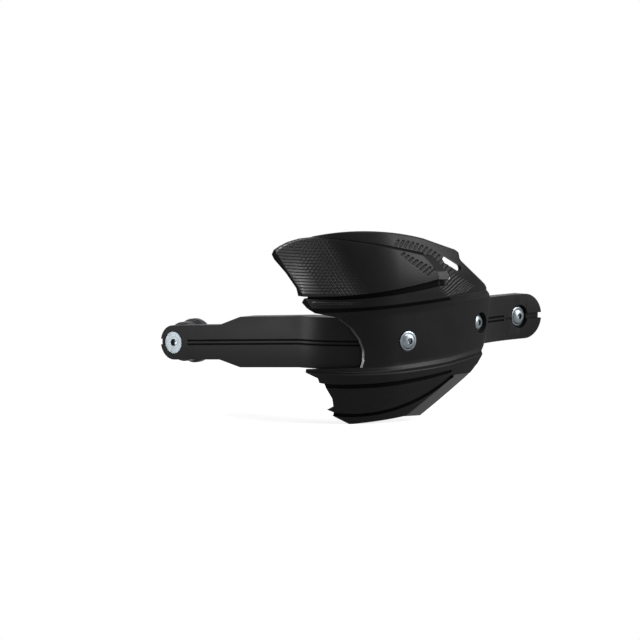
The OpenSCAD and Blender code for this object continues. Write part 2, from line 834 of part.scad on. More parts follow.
guard_bar();
wind_shield();
bar_end_screw();
bar_end_bush();
bar_end_spacer();
bar_end_weight();
expander_sleeve();
expander_cone_nut();
shield_screw_outer();
shield_bush_outer();
shield_washer_outer();
shield_nut_outer();
shield_screw_inner();
shield_bush_inner();
shield_washer_inner();
shield_nut_inner();
inner_end_screw();
inner_end_bush();
inner_end_spacer();
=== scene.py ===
import json
import math
import bmesh
import bpy
import numpy as np
from mathutils import Matrix, Vector


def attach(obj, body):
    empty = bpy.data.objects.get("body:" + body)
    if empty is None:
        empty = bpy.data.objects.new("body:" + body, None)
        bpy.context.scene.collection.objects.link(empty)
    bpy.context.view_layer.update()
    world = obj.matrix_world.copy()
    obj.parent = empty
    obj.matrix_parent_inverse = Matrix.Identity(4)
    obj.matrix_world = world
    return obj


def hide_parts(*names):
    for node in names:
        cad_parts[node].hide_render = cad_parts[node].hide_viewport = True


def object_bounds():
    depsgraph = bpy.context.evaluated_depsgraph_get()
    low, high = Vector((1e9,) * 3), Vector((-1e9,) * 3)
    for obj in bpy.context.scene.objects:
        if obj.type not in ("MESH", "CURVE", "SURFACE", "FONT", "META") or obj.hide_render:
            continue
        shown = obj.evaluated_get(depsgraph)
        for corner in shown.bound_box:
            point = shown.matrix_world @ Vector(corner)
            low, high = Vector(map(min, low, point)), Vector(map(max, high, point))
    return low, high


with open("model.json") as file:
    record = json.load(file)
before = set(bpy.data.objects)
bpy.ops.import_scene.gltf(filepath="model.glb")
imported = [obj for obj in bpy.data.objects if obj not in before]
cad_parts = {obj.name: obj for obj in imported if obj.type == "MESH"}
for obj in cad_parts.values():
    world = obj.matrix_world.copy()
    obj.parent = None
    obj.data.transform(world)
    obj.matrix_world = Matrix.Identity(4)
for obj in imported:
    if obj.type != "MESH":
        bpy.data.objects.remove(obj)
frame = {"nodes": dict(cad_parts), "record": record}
nodes = frame["nodes"]
cad_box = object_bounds()
MM = 0.001

# Sizes repeated from the part, in millimetres and degrees

LEG_LEN = 121
BEND_R, BEND_A = 56, 72
BOW_R, BOW_A = 190, 29
SWEEP_R, SWEEP_A = 168, 22.5
PLATE_T, SPACER_LEN, WEIGHT_LEN = 10, 10, 6
FACE_X = -(PLATE_T + SPACER_LEN + WEIGHT_LEN)
MID_Z, OUTER_SCREW_Z, INNER_SCREW_Z, INNER_Z = 8, 9, 17, 17.3
FLANGE_D, SHANK, END_SHANK = 13.6, 6, 8
OUTER_SEAT, INNER_SEAT, END_SEAT = 3.6, -0.6, -3
RISE_FROM, RISE_TO = 24, 100
DRAW_A = 41
GROOVE_DEPTH = 0.9


def facing(a):
    """Outward direction of the bar's face, in plan, where its path has turned by a."""
    a = np.radians(a)
    return np.stack([-np.cos(a), -np.sin(a)], axis=-1)


def turned(centre, r, a):
    """Plan place on an arc where the bar's path has turned by a."""
    return centre + np.multiply(r, facing(a).T).T


BEND_C = np.array([FACE_X + BEND_R, -LEG_LEN])
BOW_C = turned(BEND_C, BEND_R - BOW_R, BEND_A)
SWEEP_C = turned(BOW_C, BOW_R + SWEEP_R, BEND_A + BOW_A)
BEND_END = LEG_LEN + math.radians(BEND_R * BEND_A)
BOW_END = BEND_END + math.radians(BOW_R * BOW_A)
PATH_END = BOW_END + math.radians(SWEEP_R * SWEEP_A)
OUTER_SCREW_T = BEND_END + 9
INNER_SCREW_T = BOW_END - 12.5
END_SCREW_T = PATH_END - 22


def path_angle(t):
    """Degrees that the bar's path has turned by at a length along it."""
    if t < LEG_LEN:
        return 0.0
    if t < BEND_END:
        return math.degrees((t - LEG_LEN) / BEND_R)
    if t < BOW_END:
        return BEND_A + math.degrees((t - BEND_END) / BOW_R)
    return BEND_A + BOW_A - math.degrees((t - BOW_END) / SWEEP_R)


def path_point(t):
    """Plan place of the bar's outer face at a length along its path."""
    if t < LEG_LEN:
        return np.array([FACE_X, -t])
    if t < BEND_END:
        return turned(BEND_C, BEND_R, path_angle(t))
    if t < BOW_END:
        return turned(BOW_C, BOW_R, path_angle(t))
    return turned(SWEEP_C, -SWEEP_R, path_angle(t))


def outset(p):
    """Height of a place above the bar's outer face."""
    if p.y > -LEG_LEN:
        return FACE_X - p.x
    for centre, r, end_a in ((BEND_C, BEND_R, BEND_A), (BOW_C, BOW_R, BEND_A + BOW_A)):
        x, y = np.array([p.x, p.y]) - centre
        if math.degrees(math.atan2(-y, -x)) < end_a:
            return math.hypot(x, y) - r
    x, y = np.array([p.x, p.y]) - SWEEP_C
    return SWEEP_R - math.hypot(x, y)


def seat_frame(t, z):
    """Frame on the bar's face: X along the path, Y up, Z out of the face; millimetres in, metres out."""
    p = path_point(t)
    return (Matrix.Translation((p[0] * MM, p[1] * MM, z * MM))
            @ Matrix.Rotation(math.radians(path_angle(t) - 90), 4, "Z")
            @ Matrix.Rotation(math.radians(90), 4, "X")
            @ Matrix.Scale(MM, 4))


# Materials

def linear(hex_colour):
    """sRGB hex to linear RGBA."""
    parts = [int(hex_colour[i:i + 2], 16) / 255 for i in (1, 3, 5)]
    return [c / 12.92 if c <= 0.04045 else ((c + 0.055) / 1.055) ** 2.4 for c in parts] + [1.0]


def add(tree, kind, inputs=(), **settings):
    """Adds a node with its settings. Each input gets a value or, from a socket, a link."""
    node = tree.nodes.new(kind)
    for key, value in settings.items():
        setattr(node, key, value)
    for key, value in dict(inputs).items():
        if isinstance(value, bpy.types.NodeSocket):
            tree.links.new(value, node.inputs[key])
        else:
            node.inputs[key].default_value = value
    return node


def new_material(name):
    """New material with its node tree and its one shader."""
    material = bpy.data.materials.new(name)
    material.use_nodes = True
    tree = material.node_tree
    tree.nodes.clear()
    shader = add(tree, "ShaderNodeBsdfPrincipled")
    add(tree, "ShaderNodeOutputMaterial", {"Surface": shader.outputs[0]})
    return material, tree, shader


def object_mm(tree):
    """Object coordinates in millimetres."""
    coords = add(tree, "ShaderNodeTexCoord")
    scaled = add(tree, "ShaderNodeMapping", {"Vector": coords.outputs["Object"], "Scale": (1000, 1000, 1000)})
    return scaled.outputs[0]


def clouded(name, cloud_mm, detail, dark, light, least_rough, most_rough):
    """Material whose colour and shine are slightly cloudy."""
    material, tree, shader = new_material(name)
    cloud = add(tree, "ShaderNodeTexNoise",
                {"Vector": object_mm(tree), "Scale": 1 / cloud_mm, "Detail": detail}).outputs[0]
    tone = add(tree, "ShaderNodeMix", {0: cloud, 6: linear(dark), 7: linear(light)}, data_type="RGBA")
    sheen = add(tree, "ShaderNodeMapRange", {0: cloud, 1: 0.3, 2: 0.7, 3: least_rough, 4: most_rough})
    tree.links.new(tone.outputs[2], shader.inputs["Base Color"])
    tree.links.new(sheen.outputs[0], shader.inputs["Roughness"])
    return material, tree, shader


PLASTIC_CLOUD = 28


def moulded(name, dark, light, rough, grain_mm, depth_mm, level=0.052):
    """Moulded plastic: an etched tool gives a fine even grain, and handling leaves soft clouds.
    The level sets how much of the surroundings it mirrors."""
    material, tree, shader = clouded(name, PLASTIC_CLOUD, 3, dark, light, rough - 0.04, rough + 0.05)
    grain = add(tree, "ShaderNodeTexNoise", {"Vector": object_mm(tree), "Scale": 1 / grain_mm, "Detail": 2})
    bump = add(tree, "ShaderNodeBump",
               {"Height": grain.outputs[0], "Strength": 0.35, "Distance": depth_mm * MM})
    tree.links.new(bump.outputs[0], shader.inputs["Normal"])
    shader.inputs["IOR"].default_value = 1.5
    shader.inputs["Specular IOR Level"].default_value = level
    return material, tree, shader


def plated(name, dark, light, rough, cloud_mm):
    """Plated or anodised metal: the bath leaves soft clouds in the colour and the shine."""
    material, _, shader = clouded(name, cloud_mm, 4, dark, light, rough - 0.06, rough + 0.08)
    shader.inputs["Metallic"].default_value = 1.0
    return material


def relief(tree, shader, height, depth):
    """Lays a height, times a depth in millimetres, over the shader's own grain."""
    grain = shader.inputs["Normal"].links[0].from_socket
    bump = add(tree, "ShaderNodeBump",
               {"Height": height, "Normal": grain, "Strength": 1.0, "Distance": depth * MM})
    tree.links.new(bump.outputs[0], shader.inputs["Normal"])


def crowned(tree, shader, radius):
    """Slightly crowned face: the bar's flat face catches the light as if it curved from its lower
    edge to its upper one, about a middle line that climbs along the leg and again inboard."""
    axes = add(tree, "ShaderNodeSeparateXYZ", {0: object_mm(tree)})
    leg = add(tree, "ShaderNodeMapRange", {0: axes.outputs["Y"], 1: -LEG_LEN, 2: 0, 3: MID_Z, 4: 0})
    front = add(tree, "ShaderNodeMapRange",
                {0: axes.outputs["X"], 1: RISE_FROM, 2: RISE_TO, 3: 0, 4: INNER_Z - MID_Z})
    middle = add(tree, "ShaderNodeMath", {0: leg.outputs[0], 1: front.outputs[0]})
    above = add(tree, "ShaderNodeMath", {0: axes.outputs["Z"], 1: middle.outputs[0]}, operation="SUBTRACT")
    square = add(tree, "ShaderNodeMath", {0: above.outputs[0], 1: above.outputs[0]}, operation="MULTIPLY")
    height = add(tree, "ShaderNodeMath", {0: square.outputs[0], 1: -0.5 / radius}, operation="MULTIPLY")
    relief(tree, shader, height.outputs[0], 1)


CROWN_R = 150
bar_nylon, bar_tree, bar_shader = moulded("glass_filled_nylon", "#070708", "#0b0b0c", 0.40, 0.5, 0.05, 0.06)
crowned(bar_tree, bar_shader, CROWN_R)
shield_nylon = moulded("moulded_polypropylene", "#060607", "#0a0a0b", 0.38, 0.6, 0.05)[0]

# The lattice's pitches, depth and lean. Then the line of the scale's outer edge, and where the
# margin beside it, the stripes and the lattice end, all measured from that edge, and where the
# lattice starts in height.
LATTICE_ROW, LATTICE_DIAGONAL, LATTICE_DEPTH = 2.1, 2.33, 0.35
LATTICE_RUN, LATTICE_CLIMB = 0.833, 0.553
EDGE_LEAN, EDGE_AT = 0.664, 14.5
MARGIN_END, STRIPES_END, LATTICE_END, LATTICE_FROM = (2.2, 3.2), (12, 18), (30, 52), (33.5, 35)


def embossed(tree, shader):
    """Lattice of small triangles pressed into the scale's outer end, in level rows. It starts as
    level stripes beside the rim and fades inboard. A second, short row runs along the blade below.
    The raised parts are made to mirror more than the pits, and the flat margin beside the rim less: painted
    highlight and painted shade."""
    turn = math.radians(90 - DRAW_A)
    lx = -(BEND_C[0] * math.cos(turn) - BEND_C[1] * math.sin(turn))
    ly = -(BEND_C[0] * math.sin(turn) + BEND_C[1] * math.cos(turn))
    drawn = add(tree, "ShaderNodeMapping", {"Vector": object_mm(tree), "Rotation": (0, 0, turn),
                                            "Location": (float(lx), float(ly), -MID_Z)})
    axes = add(tree, "ShaderNodeSeparateXYZ", {0: drawn.outputs[0]})
    w, z = axes.outputs["X"], axes.outputs["Z"]

    def stripe(along_w, along_z, pitch):
        """Distance from the nearest of a set of straight stripes, twice over."""
        part = add(tree, "ShaderNodeMath", {0: w, 1: along_w / pitch}, operation="MULTIPLY")
        phase = add(tree, "ShaderNodeMath", {0: z, 1: along_z / pitch, 2: part.outputs[0]},
                    operation="MULTIPLY_ADD")
        turns = add(tree, "ShaderNodeMath", {0: phase.outputs[0]}, operation="FRACT")
        off = add(tree, "ShaderNodeMath", {0: turns.outputs[0], 1: 0.5}, operation="SUBTRACT")
        folded = add(tree, "ShaderNodeMath", {0: off.outputs[0]}, operation="ABSOLUTE")
        return add(tree, "ShaderNodeMath", {0: folded.outputs[0], 1: 2 * pitch},
                   operation="MULTIPLY").outputs[0]

    def within(*limits):
        """Product of ramps, each from one value at one place to another at the next."""
        product = 1.0
        for value, low, high, start, end in limits:
            ramp = add(tree, "ShaderNodeMapRange", {0: value, 1: low, 2: high, 3: start, 4: end})
            product = add(tree, "ShaderNodeMath", {0: ramp.outputs[0], 1: product},
                          operation="MULTIPLY").outputs[0]
        return product

    leaning = add(tree, "ShaderNodeMath", {0: z, 1: EDGE_LEAN, 2: EDGE_AT}, operation="MULTIPLY_ADD")
    from_edge = add(tree, "ShaderNodeMath", {0: w, 1: leaning.outputs[0]}).outputs[0]
    level = stripe(0, 1, LATTICE_ROW)
    rising = stripe(LATTICE_RUN, LATTICE_CLIMB, LATTICE_DIAGONAL)
    falling = stripe(LATTICE_RUN, -LATTICE_CLIMB, LATTICE_DIAGONAL)
    crossing = add(tree, "ShaderNodeMath", {0: rising, 1: falling}, operation="MINIMUM")
    lattice = add(tree, "ShaderNodeMath", {0: level, 1: crossing.outputs[0]}, operation="MINIMUM")
    cell = add(tree, "ShaderNodeMix",
               {0: within((from_edge, *STRIPES_END, 0, 1)), 2: level, 3: lattice.outputs[0]}).outputs[0]
    raised = within((cell, 0.15, 0.75, 0, 1))
    on_scale = within((z, *LATTICE_FROM, 0, 1), (from_edge, *LATTICE_END, 1, 0),
                      (from_edge, *MARGIN_END, 0, 1))
    row = within((z, 27.4, 27.9, 0, 1), (z, 29.4, 29.9, 1, 0), (w, -28, -26, 0, 1), (w, -8, 8, 1, 0))
    both = add(tree, "ShaderNodeMath", {0: on_scale, 1: row})
    height = add(tree, "ShaderNodeMath", {0: raised, 1: both.outputs[0]}, operation="MULTIPLY").outputs[0]
    relief(tree, shader, height, LATTICE_DEPTH)
    # Painted highlight and shade: the raised parts mirror more and the pits less, standing in for the light
    # and shade of the relief; the margin beside the rim mirrors less, painted shade
    painted_sheen = add(tree, "ShaderNodeMath", {0: height, 1: 0.2, 2: 0.054}, operation="MULTIPLY_ADD")
    margin = within((from_edge, *MARGIN_END, -0.05, 0))
    total = add(tree, "ShaderNodeMath", {0: painted_sheen.outputs[0], 1: margin})
    tree.links.new(total.outputs[0], shader.inputs["Specular IOR Level"])


embossed_nylon, embossed_tree, embossed_shader = moulded(
    "embossed_polypropylene", "#060607", "#0a0a0b", 0.38, 0.6, 0.05)
embossed(embossed_tree, embossed_shader)
# Painted highlight: a smoother, slightly lighter plastic that mirrors much more, on the mouth's edge, the
# tail's ramp and the lower facet, so that they show light lines
painted_highlight_nylon = moulded("painted_highlight_polypropylene", "#070708", "#0c0c0d", 0.34, 0.6, 0.04, 0.35)[0]
# Painted shade: a nearly black, coarse plastic on the slot floors, the bar's groove and the strips under the
# upper wing's lower edge and above the scale's edge, standing in for the shade that falls there
painted_shade_nylon = moulded("painted_shade_polypropylene", "#020202", "#040404", 0.7, 0.4, 0.08, 0.02)[0]
zinc_plate = plated("blue_zinc_plate", "#5c6267", "#72797c", 0.36, 2.5)
bright_steel = plated("bright_zinc_plate", "#9b9c9b", "#bdbdb9", 0.33, 3)
black_anodised = plated("black_anodised_aluminium", "#1c1c1e", "#2a2a2d", 0.42, 6)


# Mesh helpers

def piece(name, bm, material, node, sharp):
    """Makes a piece of a mesh, smooth shaded up to the sharp angle, that stands for a node."""
    mesh = bpy.data.meshes.new(name)
    bm.to_mesh(mesh)
    bm.free()
    mesh.materials.append(material)
    mesh.shade_smooth()
    mesh.set_sharp_from_angle(angle=math.radians(sharp))
    obj = bpy.data.objects.new(name, mesh)
    bpy.context.collection.objects.link(obj)
    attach(obj, "root")
    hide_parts(node)
    return obj


def cut_outline(bm, faces, place, outline, low, high):
    """Knifes the convex outline, drawn in the place's XY plane, through the faces that lie between
    two heights there, and returns the faces within it."""
    inverse = place.inverted()
    reach = max(math.hypot(x, y) for x, y in outline) + 2.5
    centre = [sum(p[k] for p in outline) / len(outline) for k in (0, 1)]

    def near(face):
        p = inverse @ face.calc_center_median()
        return math.hypot(p.x, p.y) < reach and low < p.z < high

    chosen = {f for f in faces if near(f)}
    for i, a in enumerate(outline):
        b = outline[(i + 1) % len(outline)]
        normal = Vector((b[1] - a[1], a[0] - b[0], 0))
        if normal.dot(Vector((a[0] - centre[0], a[1] - centre[1], 0))) < 0:
            normal = -normal
        geom = list(chosen | {e for f in chosen for e in f.edges} | {v for f in chosen for v in f.verts})
        result = bmesh.ops.bisect_plane(
            bm, geom=geom, dist=1e-9, plane_co=place @ Vector((a[0], a[1], 0)),
            plane_no=(place.to_3x3() @ normal).normalized())
        chosen = {g for g in result["geom"] if isinstance(g, bmesh.types.BMFace)}

    def inside(face):
        p = inverse @ face.calc_center_median()
        for i, a in enumerate(outline):
            b = outline[(i + 1) % len(outline)]
            side = (b[0] - a[0]) * (p.y - a[1]) - (b[1] - a[1]) * (p.x - a[0])
            middle = (b[0] - a[0]) * (centre[1] - a[1]) - (b[1] - a[1]) * (centre[0] - a[0])
            if side * middle < 0:
                return False
        return True

    return [f for f in chosen if inside(f)]


def open_outline(bm, faces):
    """Deletes the faces and returns the edges round the hole that they leave."""
    before = {e for e in bm.edges if e.is_boundary}
    bmesh.ops.delete(bm, geom=faces, context="FACES")
    return [e for e in bm.edges if e.is_boundary and e not in before]


def ring_in(bm, rim, place, scale, height=None, drop=None):
    """Extrudes a rim, scales it about the place's axis and sets or lowers its height there."""
    inverse = place.inverted()
    result = bmesh.ops.extrude_edge_only(bm, edges=rim)["geom"]
    for v in (g for g in result if isinstance(g, bmesh.types.BMVert)):
        p = inverse @ v.co
        p.x *= scale
        p.y *= scale
        p.z = height if height is not None else p.z - drop
        v.co = place @ p
    return [g for g in result if isinstance(g, bmesh.types.BMEdge)]


def circle_outline(d, n=40):
    """Corners of a polygon on a circle."""
    return [(d / 2 * math.cos(2 * math.pi * i / n), d / 2 * math.sin(2 * math.pi * i / n)) for i in range(n)]


def spun(bm, profile, place, steps, closed=True):
    """Spins a profile of radius and height about the place's Z axis."""
    verts = [bm.verts.new(place @ Vector((r, 0, h))) for r, h in profile]
    edges = [bm.edges.new((a, b)) for a, b in zip(verts, verts[1:])]
    if closed:
        edges.append(bm.edges.new((verts[-1], verts[0])))
    axis = (place.to_3x3() @ Vector((0, 0, 1))).normalized()
    bmesh.ops.spin(bm, geom=verts + edges, cent=place.translation, axis=axis, angle=2 * math.pi,
                   steps=steps, use_merge=True)
    bmesh.ops.remove_doubles(bm, verts=bm.verts, dist=1e-7)
    bmesh.ops.recalc_face_normals(bm, faces=bm.faces)


# Guard bar: the CAD shape with its triangles joined and its moulded edges rounded, and painted shade in its
# groove

def guard_bar():
    bm = bmesh.new()
    bm.from_mesh(nodes["guard_bar"].data)
    bmesh.ops.remove_doubles(bm, verts=bm.verts, dist=1e-6)
    bmesh.ops.dissolve_limit(bm, angle_limit=math.radians(0.5), verts=bm.verts, edges=bm.edges)
    for face in bm.faces:
        # Faces in the groove get the nearly black plastic: painted shade
        in_groove = abs(outset(face.calc_center_median() / MM) + GROOVE_DEPTH) < 0.1
        face.material_index = 1 if in_groove else 0
    obj = piece("bar_moulding", bm, bar_nylon, "guard_bar", sharp=30)
    obj.data.materials.append(painted_shade_nylon)
    bevel = obj.modifiers.new("rounded edges", "BEVEL")
    bevel.width = 0.5 * MM
    bevel.segments = 2
    bevel.limit_method = "ANGLE"
    bevel.angle_limit = math.radians(50)


# Wind shield: the part's lengthwise lines, drawn finer, with rounded steps and its ribs

BAND_OUT, WING_OUT = 4, 8
UPPER_R, LOWER_R, UPPER_FROM, LOWER_FROM = 98, 91, 33, -22
SHIELD_T, SCALE_H, SLOT_DEPTH, SEAT_GAP = 3, 2.6, 2, 0.3
WING, BAND, FILLET, SCALE, SLOT = range(5)
LINES = [
    (WING, (-2, -56.2), (14, -54.6), (36, -51.8), (47.6, -52.4)),
    (WING, (-13.6, -50.2), (36, -45.2), (70, -27.4), (82, -26.6)),
    (SLOT, (-13.2, -49.8), (36, -44.8), (70, -26.8), (82.6, -26)),
    (SLOT, (-12.9, -48.2), (36, -43), (69.6, -25.6), (83.4, -25.2)),
    (WING, (-12.7, -47.8), (36, -42.6), (69.4, -25), (84, -24.6)),
    (WING, (-17.4, -46), (35, -40.4), (69.3, -24.8), (84.6, -24)),
    (WING, (-13.2, -43.6), (33, -38.4), (69.2, -24.6), (85.2, -23.4)),
    (WING, (-14, -38), (30, -35), (69, -24.2), (86, -22.4)),
    (WING, (-18.4, -30.4), (24, -29.8), (68, -23.6), (88, -20.2)),
    (SLOT, (-18.6, -30), (24, -29.4), (67.8, -23.2), (88.4, -19.8)),
    (SLOT, (-19.4, -28), (24, -27), (67.6, -21.9), (89, -19.2)),
    (WING, (-20, -27.6), (24, -26.6), (67.5, -21.5), (89.4, -18.8)),
    (WING, (-23, -27.2), (24, -26), (67.8, -21), (90, -17.8)),
    (WING, (-24, -24), (24, -23.4), (68.4, -19.4), (91.4, -15.6)),
    (WING, (-32.5, -20.4), (24, -21), (69, -17.6), (93, -13)),
    (FILLET, (-32.2, -18.6), (24, -18.6), (69, -15.2), (92.5, -10.8)),
    (BAND, (5.4, -16.4), (30, -15.8), (70, -12.5), (94, -8)),
    (BAND, (6.8, -12), (32, -10), (70, -6), (95.5, -3)),
    (BAND, (6.6, -4), (32, -2), (70, 2), (97, 6)),
    (BAND, (3.6, 3.5), (32, 6), (70, 11), (98, 14)),
    (BAND, (-2, 11), (30, 13), (70, 18), (99, 21)),
    (BAND, (-12, 18.4), (28, 20), (70, 24.4), (99, 26.5)),
    (FILLET, (-26, 20.9), (24, 24), (70, 27.6), (98, 29.5)),
    (WING, (-31.5, 24.4), (20, 26.6), (68, 30.2), (95.8, 32.4)),
    (WING, (-35, 28.2), (16, 29.4), (66, 34), (95.8, 34.2)),
    (WING, (-33.5, 31), (14, 32.2), (60.5, 38.2), (94.6, 36.6)),
    (SLOT, (-31, 31.5), (14, 32.6), (60.6, 38.8), (93.6, 37.6)),
    (SLOT, (-31.2, 32.2), (14, 35.4), (60.2, 43), (92.4, 38.9)),
    (SCALE, (-37.6, 32.7), (14, 35.8), (60, 43.4), (92, 39.4)),
    (SCALE, (-38.9, 38), (12, 41.4), (60, 46), (88, 43.4)),
    (SCALE, (-46.2, 48), (11, 49), (59, 48.6), (84, 47.4)),
    (SCALE, (-54.6, 57), (10, 56), (57.4, 50.4), (80.6, 50.8)),
    (SCALE, (-56.2, 60.1), (10, 58.6), (56.4, 52), (79.4, 52)),
    (SCALE, (-54.9, 63.2), (10, 61.2), (55.4, 53.6), (78.2, 53.2)),
    (SCALE, (-51.1, 66), (10, 63.6), (53.8, 55.4), (77, 54.4)),
    (SCALE, (-45.4, 69.1), (10, 65.6), (52, 57.2), (76.5, 55.2)),
    (SCALE, (-37.2, 71.9), (10, 67.4), (50.4, 58.8), (76, 55.9)),
    (SCALE, (-29, 73.2), (10, 69), (49, 60.2), (75.7, 56.5)),
    (WING, (-28, 73.5), (10, 69.6), (49.6, 60.8), (75.7, 57.2)),
    (WING, (-27.8, 73.7), (9, 73.8), (50, 66), (75, 60.5)),
    (WING, (-27.5, 73.8), (6.5, 77.7), (50, 71.3), (72.4, 62.5)),
]
# Where the upper wing starts and where the ramp of the scale's tail ends, in LINES
UPPER_LINE, RAMP_LINE = 22, 30
ARC_STEPS, TAIL_STEPS = 22, 7
# Places along the lines: close together at the ends, for the rounded rim, and over the ribs
PLACES = np.concatenate([
    [0, 0.03, 0.07, 0.13, 0.25, 0.36, 0.45, 0.54, 0.63, 0.8], np.linspace(1, 12, 62),
    np.linspace(12.1, 28.6, 176), [28.75, 28.87, 28.94, 29]])
COLUMNS = len(PLACES) - 1
BAND_PITCH, UPPER_PITCH, LOWER_PITCH = 3, 0.42, 0.6
RIM_R, CHAMFER, CHAMFER_SLOPE = 0.7, 1.6, 0.85
FILLET_OUT, FILLET_IN, TAIL_RAMP = 1, 0.8, 1.9


def wing_u(z):
    """Height of the wing's own surface above the bar's face: flat, then curving back at both ends."""
    upper = WING_OUT - UPPER_R + np.sqrt(UPPER_R ** 2 - np.maximum(z - UPPER_FROM, 0) ** 2)
    lower = WING_OUT - LOWER_R + np.sqrt(LOWER_R ** 2 - np.maximum(LOWER_FROM - z, 0) ** 2)
    return np.where(z > 0, upper, lower)


def plan_place(w, out):
    """Plan place of a width, seen along the mould's draw, at an offset from the bar's face."""
    r = BEND_R + out
    edge = -r * math.sin(math.radians(DRAW_A))
    leg_t = LEG_LEN + (w - edge) / math.cos(math.radians(DRAW_A))
    on_leg = np.stack([FACE_X - out, -leg_t], axis=-1)
    a = DRAW_A + np.degrees(np.arcsin(np.clip(w / r, -1, 1)))
    on_bend = turned(BEND_C, r, a)
    shift = (BOW_R - BEND_R) * math.sin(math.radians(BEND_A - DRAW_A))
    on_bow = turned(BOW_C, BOW_R + out, DRAW_A + np.degrees(np.arcsin((w + shift) / (BOW_R + out))))
    in_leg = (w < edge)[..., None]
    in_bend = (a < BEND_A)[..., None]
    return np.where(in_leg, on_leg, np.where(in_bend, on_bend, on_bow))


def line_at(line, j):
    """Widths and heights along one line: an arc through three points, then straight."""
    a, b, c, d = (np.array(p, float) for p in line[1:])
    k = 2 * (a[0] * (b[1] - c[1]) + b[0] * (c[1] - a[1]) + c[0] * (a[1] - b[1]))
    o = np.array([a @ a * (b[1] - c[1]) + b @ b * (c[1] - a[1]) + c @ c * (a[1] - b[1]),
                  a @ a * (c[0] - b[0]) + b @ b * (a[0] - c[0]) + c @ c * (b[0] - a[0])]) / k
    a0 = math.atan2(a[1] - o[1], a[0] - o[0])
    a1 = math.atan2(c[1] - o[1], c[0] - o[0])
    turn = (a1 - a0 + 3 * math.pi) % (2 * math.pi) - math.pi
    angle = a0 + turn * np.minimum(j, ARC_STEPS) / ARC_STEPS
    on_arc = o + np.linalg.norm(a - o) * np.stack([np.cos(angle), np.sin(angle)], axis=-1)
    on_tail = c + (d - c) * (np.maximum(j - ARC_STEPS, 0) / TAIL_STEPS)[:, None]
    return np.where((j <= ARC_STEPS)[:, None], on_arc, on_tail)


def step(x, low, high):
    """Smooth climb from nought to one."""
    x = np.clip((x - low) / (high - low), 0, 1)
    return x * x * (3 - 2 * x)


def lift_of(kind, z, j):
    """Height of a kind of line above the wing's own surface."""
    if kind == BAND:
        return BAND_OUT - wing_u(z)
    if kind == FILLET:
        return BAND_OUT + FILLET_OUT - wing_u(z)
    if kind == SCALE:
        return SCALE_H * step(j, 0.35, 0.62) * np.clip((ARC_STEPS + TAIL_RAMP - j) / TAIL_RAMP, 0, 1)
    if kind == SLOT:
        return -SLOT_DEPTH * (1 - step(j, ARC_STEPS, ARC_STEPS + 1))
    return 0 * z


def row_steps(i, gap, kind_a, kind_b):
    """Fractions of the way from one line to the next at which rows are drawn."""
    if i == 0:
        return np.concatenate([[0, 0.008, 0.02, 0.04], np.linspace(0.07, 1, 24)])[:-1]
    if i == len(LINES) - 2:
        return np.concatenate([np.linspace(0, 0.84, 10), [0.9, 0.95, 0.98]])
    if kind_a != kind_b:
        return np.arange(5) / 5
    pitch = BAND_PITCH if kind_a == BAND else UPPER_PITCH if i >= UPPER_LINE else LOWER_PITCH
    n = max(1, round(gap / pitch))
    return np.arange(n) / n


def shield_rows():
    """Rows from the lower edge to the upper: line, fraction, widths and heights, and both kinds."""
    drawn = [line_at(line, PLACES) for line in LINES]
    rows = []
    for i in range(len(LINES) - 1):
        a, b = drawn[i], drawn[i + 1]
        ka, kb = LINES[i][0], LINES[i + 1][0]
        gap = np.mean(np.linalg.norm(b - a, axis=1))
        for f in row_steps(i, gap, ka, kb):
            rows.append((i, f, a + (b - a) * f, ka, kb))
    rows.append((len(LINES) - 2, 1.0, drawn[-1], WING, WING))
    return rows


def rounded(distance):
    """Drop of a rim rounded to a radius at a distance from its edge."""
    x = 1 - np.clip(distance / RIM_R, 0, 1)
    return RIM_R * (1 - np.sqrt(1 - 0.9 * x * x))


def outer_offset(i, f, wz, ka, kb, low_edge, high_edge):
    """Height of a row's outer side above the bar's face, with the rim rounded. The band's outer
    end, the mouth that the bar comes out of, is chamfered instead."""
    w, z = wz[:, 0], wz[:, 1]
    g = f if ka == kb else f * f * (3 - 2 * f)
    lift = lift_of(ka, z, PLACES) * (1 - g) + lift_of(kb, z, PLACES) * g
    along = np.concatenate([[0], np.cumsum(np.linalg.norm(np.diff(wz, axis=0), axis=1))])
    edge = np.minimum.reduce([along, along[-1] - along,
                              np.linalg.norm(wz - low_edge, axis=1), np.linalg.norm(wz - high_edge, axis=1)])
    rim = rounded(edge)
    if ka == BAND or kb == BAND:
        rim = np.maximum(rim, CHAMFER_SLOPE * np.maximum(CHAMFER - along, 0))
    return wing_u(z) + lift - grooves(w, z) - lower_facet(w, z) - rim


def inner_offset(z, kind):
    """Height of the inner side above the bar's face."""
    return {BAND: SEAT_GAP + 0 * z, FILLET: SEAT_GAP + FILLET_IN + 0 * z}.get(kind, wing_u(z) - SHIELD_T)


# Grooves in the upper wing, at the part's own places but drawn shallower and with soft edges: a
# comb outside the scale's edge, a second one on the scale, and long slanting ones from its tip to
# the inner edge
RIB_DEPTH = 0.6
COMB_COUNT, COMB_LEN, COMB_W = 14, 5.4, 1.3
COMB_LEAN, COMB_TURN = 56, 18
COMB_THROUGH = ((30.8, 69.3), (52, 62.9), (69.4, 48.2))
SECOND_COUNT, SECOND_LEAN, SECOND_W = 8, 38, 1.2
SLANTS_BETWEEN, SLANT_W = 4, 0.8
SLANTS = (((60.2, 36.9), (72.3, 46.5)), ((64.1, 30.6), (82.9, 41.7)), ((77.8, 33.3), (87.5, 37)))


def curve_through(a, b, c, n):
    """Evenly turned places on the arc through three points."""
    return line_at((WING, a, b, c, c), np.linspace(0, ARC_STEPS, n))


